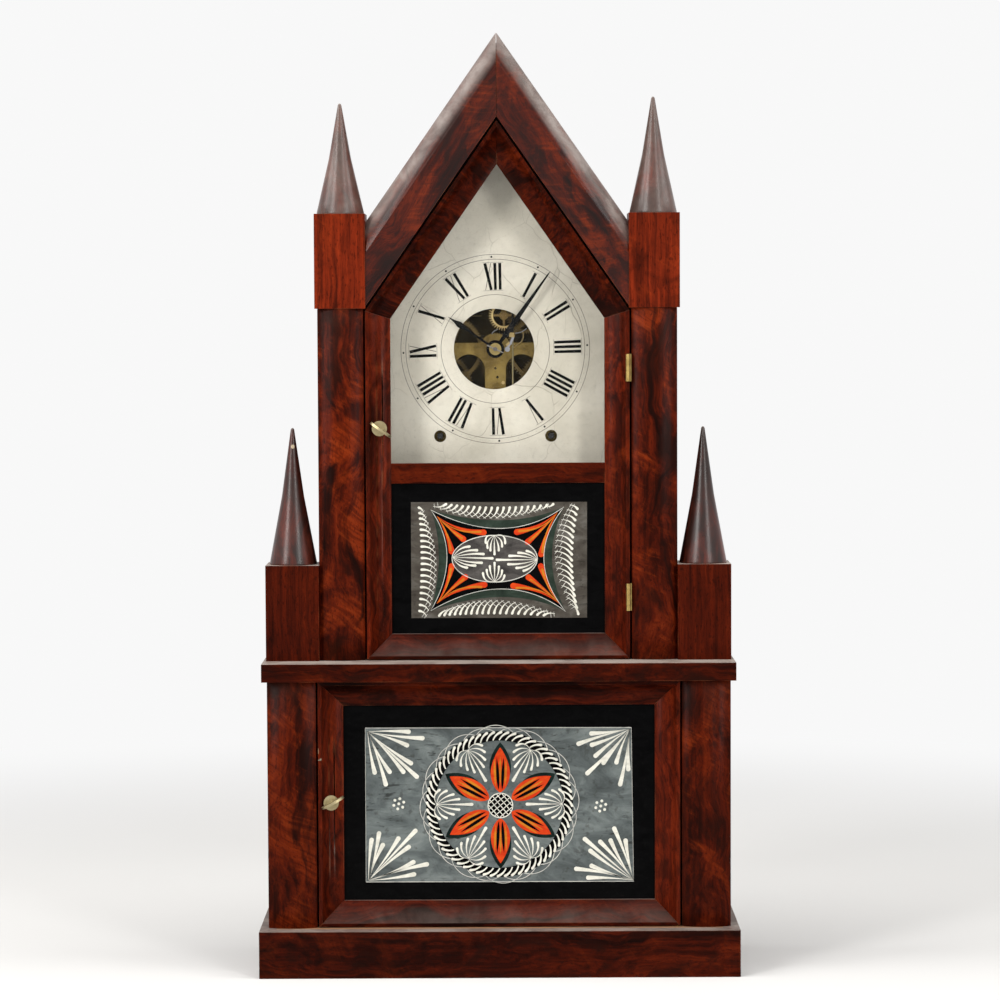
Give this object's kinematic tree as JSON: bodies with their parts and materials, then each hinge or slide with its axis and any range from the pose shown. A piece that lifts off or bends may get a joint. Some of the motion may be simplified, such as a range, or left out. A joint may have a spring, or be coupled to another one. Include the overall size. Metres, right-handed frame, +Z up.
{
  "type": "double steeple shelf clock",
  "caption": "Wooden shelf clock in two stages with a pointed gable, turned steeples on corner blocks, two glazed doors, open-centre dial, brass movement and a leaf spring drive.",
  "frame": {"origin": "centre of the base plinth's rectangle, on the plane the clock stands on", "axes": "+X to the clock's right as seen from the front, +Y to its back, +Z up; the dial faces -Y"},
  "size_m": [0.348, 0.118, 0.6822],
  "materials": {
    "mahogany_veneer": "figured red-brown veneer under old shellac",
    "pine": "bare, aged",
    "brass": "satin, lightly tarnished",
    "steel": "dull, oiled",
    "blued_iron": "dark, slightly blued",
    "clear_glass": "clear old glass",
    "painted_glass": "glass painted on the back, opaque",
    "dial_paint": "aged ivory paint with fine cracks",
    "hand_black": "blackened steel",
    "cord": "twisted cord"
  },
  "bodies": {
    "case": {"base_front_board": "mahogany_veneer", "base_side_boards": "mahogany_veneer", "base_back_rail": "pine", "base_deck": "pine", "case_sides": "mahogany_veneer", "case_backs": "pine", "lower_face_frame": "mahogany_veneer", "lower_columns": "mahogany_veneer", "waist_shelf": "mahogany_veneer", "upper_face_frame": "mahogany_veneer", "upper_columns": "mahogany_veneer", "corner_blocks": "mahogany_veneer", "steeples": "mahogany_veneer", "gable_mouldings": "mahogany_veneer", "roof_boards": "pine", "case_hinge_leaves": "brass", "dial_plate": "dial_paint", "dial_boards": "pine", "front_plate": "brass", "back_plate": "brass", "plate_pillars": "brass", "movement_battens": "pine", "suspension_stud": "brass", "gong": "blued_iron", "leaf_spring": "steel", "drive_cords": "cord"},
    "upper_door": {"upper_door_stiles": "mahogany_veneer", "upper_door_gable_rails": "mahogany_veneer", "upper_door_mid_rail": "mahogany_veneer", "upper_door_bottom_rail": "mahogany_veneer", "dial_glass": "clear_glass", "upper_tablet": "painted_glass", "upper_door_hinge_leaves": "brass"},
    "upper_turn_latch": {"upper_latch": "brass"},
    "lower_door": {"lower_door_stiles": "mahogany_veneer", "lower_door_rails": "mahogany_veneer", "lower_tablet": "painted_glass", "lower_door_hinge_leaves": "brass"},
    "lower_turn_latch": {"lower_latch": "brass"},
    "minute_arbor": {"center_arbor": "steel", "minute_hand": "hand_black", "hand_pin": "steel"},
    "motion_wheel": {"minute_wheel": "brass"},
    "hour_pipe": {"hour_wheel": "brass", "hour_hand": "hand_black"},
    "time_third": {"time_third_wheel": "brass"},
    "time_second": {"time_second_wheel": "brass"},
    "time_great": {"time_great_wheel": "brass"},
    "time_winding": {"time_drum": "brass"},
    "time_fourth": {"time_fourth_wheel": "brass"},
    "escape": {"escape_wheel": "brass"},
    "verge_arm": {"verge": "brass"},
    "pendulum": {"pendulum_rod": "steel", "pendulum_bob": "brass"},
    "strike_pin": {"strike_pin_wheel": "brass"},
    "strike_second": {"strike_second_wheel": "brass"},
    "strike_great": {"strike_great_wheel": "brass"},
    "strike_winding": {"strike_drum": "brass"},
    "fly": {"strike_fly": "brass"},
    "hammer": {"strike_hammer": "steel"}
  },
  "joints": [
    {"name": "upper_door_hinge", "type": "hinge", "parent": "case", "child": "upper_door", "pos_m": [0.0944, -0.0308, 0.33], "axis": [0, 0, 1], "range_deg": [0, 100]},
    {"name": "upper_latch_turn", "type": "hinge", "parent": "upper_door", "child": "upper_turn_latch", "pos_m": [-0.0857, -0.02, 0.3965], "axis": [0, -1, 0], "range_deg": [0, 90]},
    {"name": "lower_door_hinge", "type": "hinge", "parent": "case", "child": "lower_door", "pos_m": [0.129, -0.0408, 0.124], "axis": [0, 0, 1], "range_deg": [0, 100]},
    {"name": "lower_latch_turn", "type": "hinge", "parent": "lower_door", "child": "lower_turn_latch", "pos_m": [-0.1218, -0.04, 0.1257], "axis": [0, -1, 0], "range_deg": [0, 90]},
    {"name": "minute_turn", "type": "hinge", "parent": "case", "child": "minute_arbor", "pos_m": [-0.0015, 0.02, 0.4533], "axis": [0, -1, 0], "continuous": true},
    {"name": "motion_wheel_turn", "type": "hinge", "parent": "case", "child": "motion_wheel", "pos_m": [-0.0015, 0.02, 0.4389], "axis": [0, -1, 0], "continuous": true},
    {"name": "hour_turn", "type": "hinge", "parent": "case", "child": "hour_pipe", "pos_m": [-0.0015, 0.02, 0.4533], "axis": [0, -1, 0], "continuous": true},
    {"name": "time_third_turn", "type": "hinge", "parent": "case", "child": "time_third", "pos_m": [0.0314, 0.02, 0.4533], "axis": [0, -1, 0], "continuous": true},
    {"name": "time_second_turn", "type": "hinge", "parent": "case", "child": "time_second", "pos_m": [0.04216, 0.02, 0.42519], "axis": [0, -1, 0], "continuous": true},
    {"name": "time_great_turn", "type": "hinge", "parent": "case", "child": "time_great", "pos_m": [0.03935, 0.02, 0.3893], "axis": [0, -1, 0], "continuous": true},
    {"name": "time_fourth_turn", "type": "hinge", "parent": "case", "child": "time_fourth", "pos_m": [0.02049, 0.02, 0.47756], "axis": [0, -1, 0], "continuous": true},
    {"name": "escape_turn", "type": "hinge", "parent": "case", "child": "escape", "pos_m": [0.0049, 0.02, 0.478], "axis": [0, -1, 0], "continuous": true},
    {"name": "time_winding_turn", "type": "hinge", "parent": "time_great", "child": "time_winding", "pos_m": [0.03935, 0.02, 0.3893], "axis": [0, -1, 0], "range_deg": [0, 360]},
    {"name": "pendulum_swing", "type": "hinge", "parent": "case", "child": "pendulum", "pos_m": [0.0113, 0.02, 0.5033], "axis": [0, -1, 0], "range_deg": [-2.5, 2.5]},
    {"name": "verge_rock", "type": "hinge", "parent": "case", "child": "verge_arm", "pos_m": [0.0113, 0.02, 0.4923], "axis": [0, -1, 0], "range_deg": [-3.5, 3.5]},
    {"name": "strike_pin_turn", "type": "hinge", "parent": "case", "child": "strike_pin", "pos_m": [-0.0344, 0.02, 0.4533], "axis": [0, -1, 0], "continuous": true},
    {"name": "strike_second_turn", "type": "hinge", "parent": "case", "child": "strike_second", "pos_m": [-0.04516, 0.02, 0.42519], "axis": [0, -1, 0], "continuous": true},
    {"name": "strike_great_turn", "type": "hinge", "parent": "case", "child": "strike_great", "pos_m": [-0.04235, 0.02, 0.3893], "axis": [0, -1, 0], "continuous": true},
    {"name": "fly_turn", "type": "hinge", "parent": "case", "child": "fly", "pos_m": [-0.02349, 0.02, 0.47756], "axis": [0, -1, 0], "continuous": true},
    {"name": "strike_winding_turn", "type": "hinge", "parent": "strike_great", "child": "strike_winding", "pos_m": [-0.04235, 0.02, 0.3893], "axis": [0, -1, 0], "range_deg": [-360, 0]},
    {"name": "hammer_swing", "type": "hinge", "parent": "case", "child": "hammer", "pos_m": [-0.0065, 0.02, 0.3613], "axis": [0, -1, 0], "range_deg": [-12, 0], "stiffness_Nm_per_rad": 0.05}
  ],
  "couplings": [
    {"joint": "motion_wheel_turn", "follows": "minute_turn", "ratio": -0.33333},
    {"joint": "hour_turn", "follows": "minute_turn", "ratio": 0.083333},
    {"joint": "time_third_turn", "follows": "minute_turn", "ratio": -0.38235},
    {"joint": "time_second_turn", "follows": "minute_turn", "ratio": 0.05031},
    {"joint": "time_great_turn", "follows": "minute_turn", "ratio": -0.0062887},
    {"joint": "time_fourth_turn", "follows": "minute_turn", "ratio": 3.25},
    {"joint": "escape_turn", "follows": "minute_turn", "ratio": -17.875},
    {"joint": "verge_rock", "follows": "pendulum_swing", "ratio": 1.3716},
    {"joint": "strike_second_turn", "follows": "strike_pin_turn", "ratio": -0.13158},
    {"joint": "strike_great_turn", "follows": "strike_pin_turn", "ratio": 0.016447},
    {"joint": "fly_turn", "follows": "strike_pin_turn", "ratio": -8.5}
  ]
}
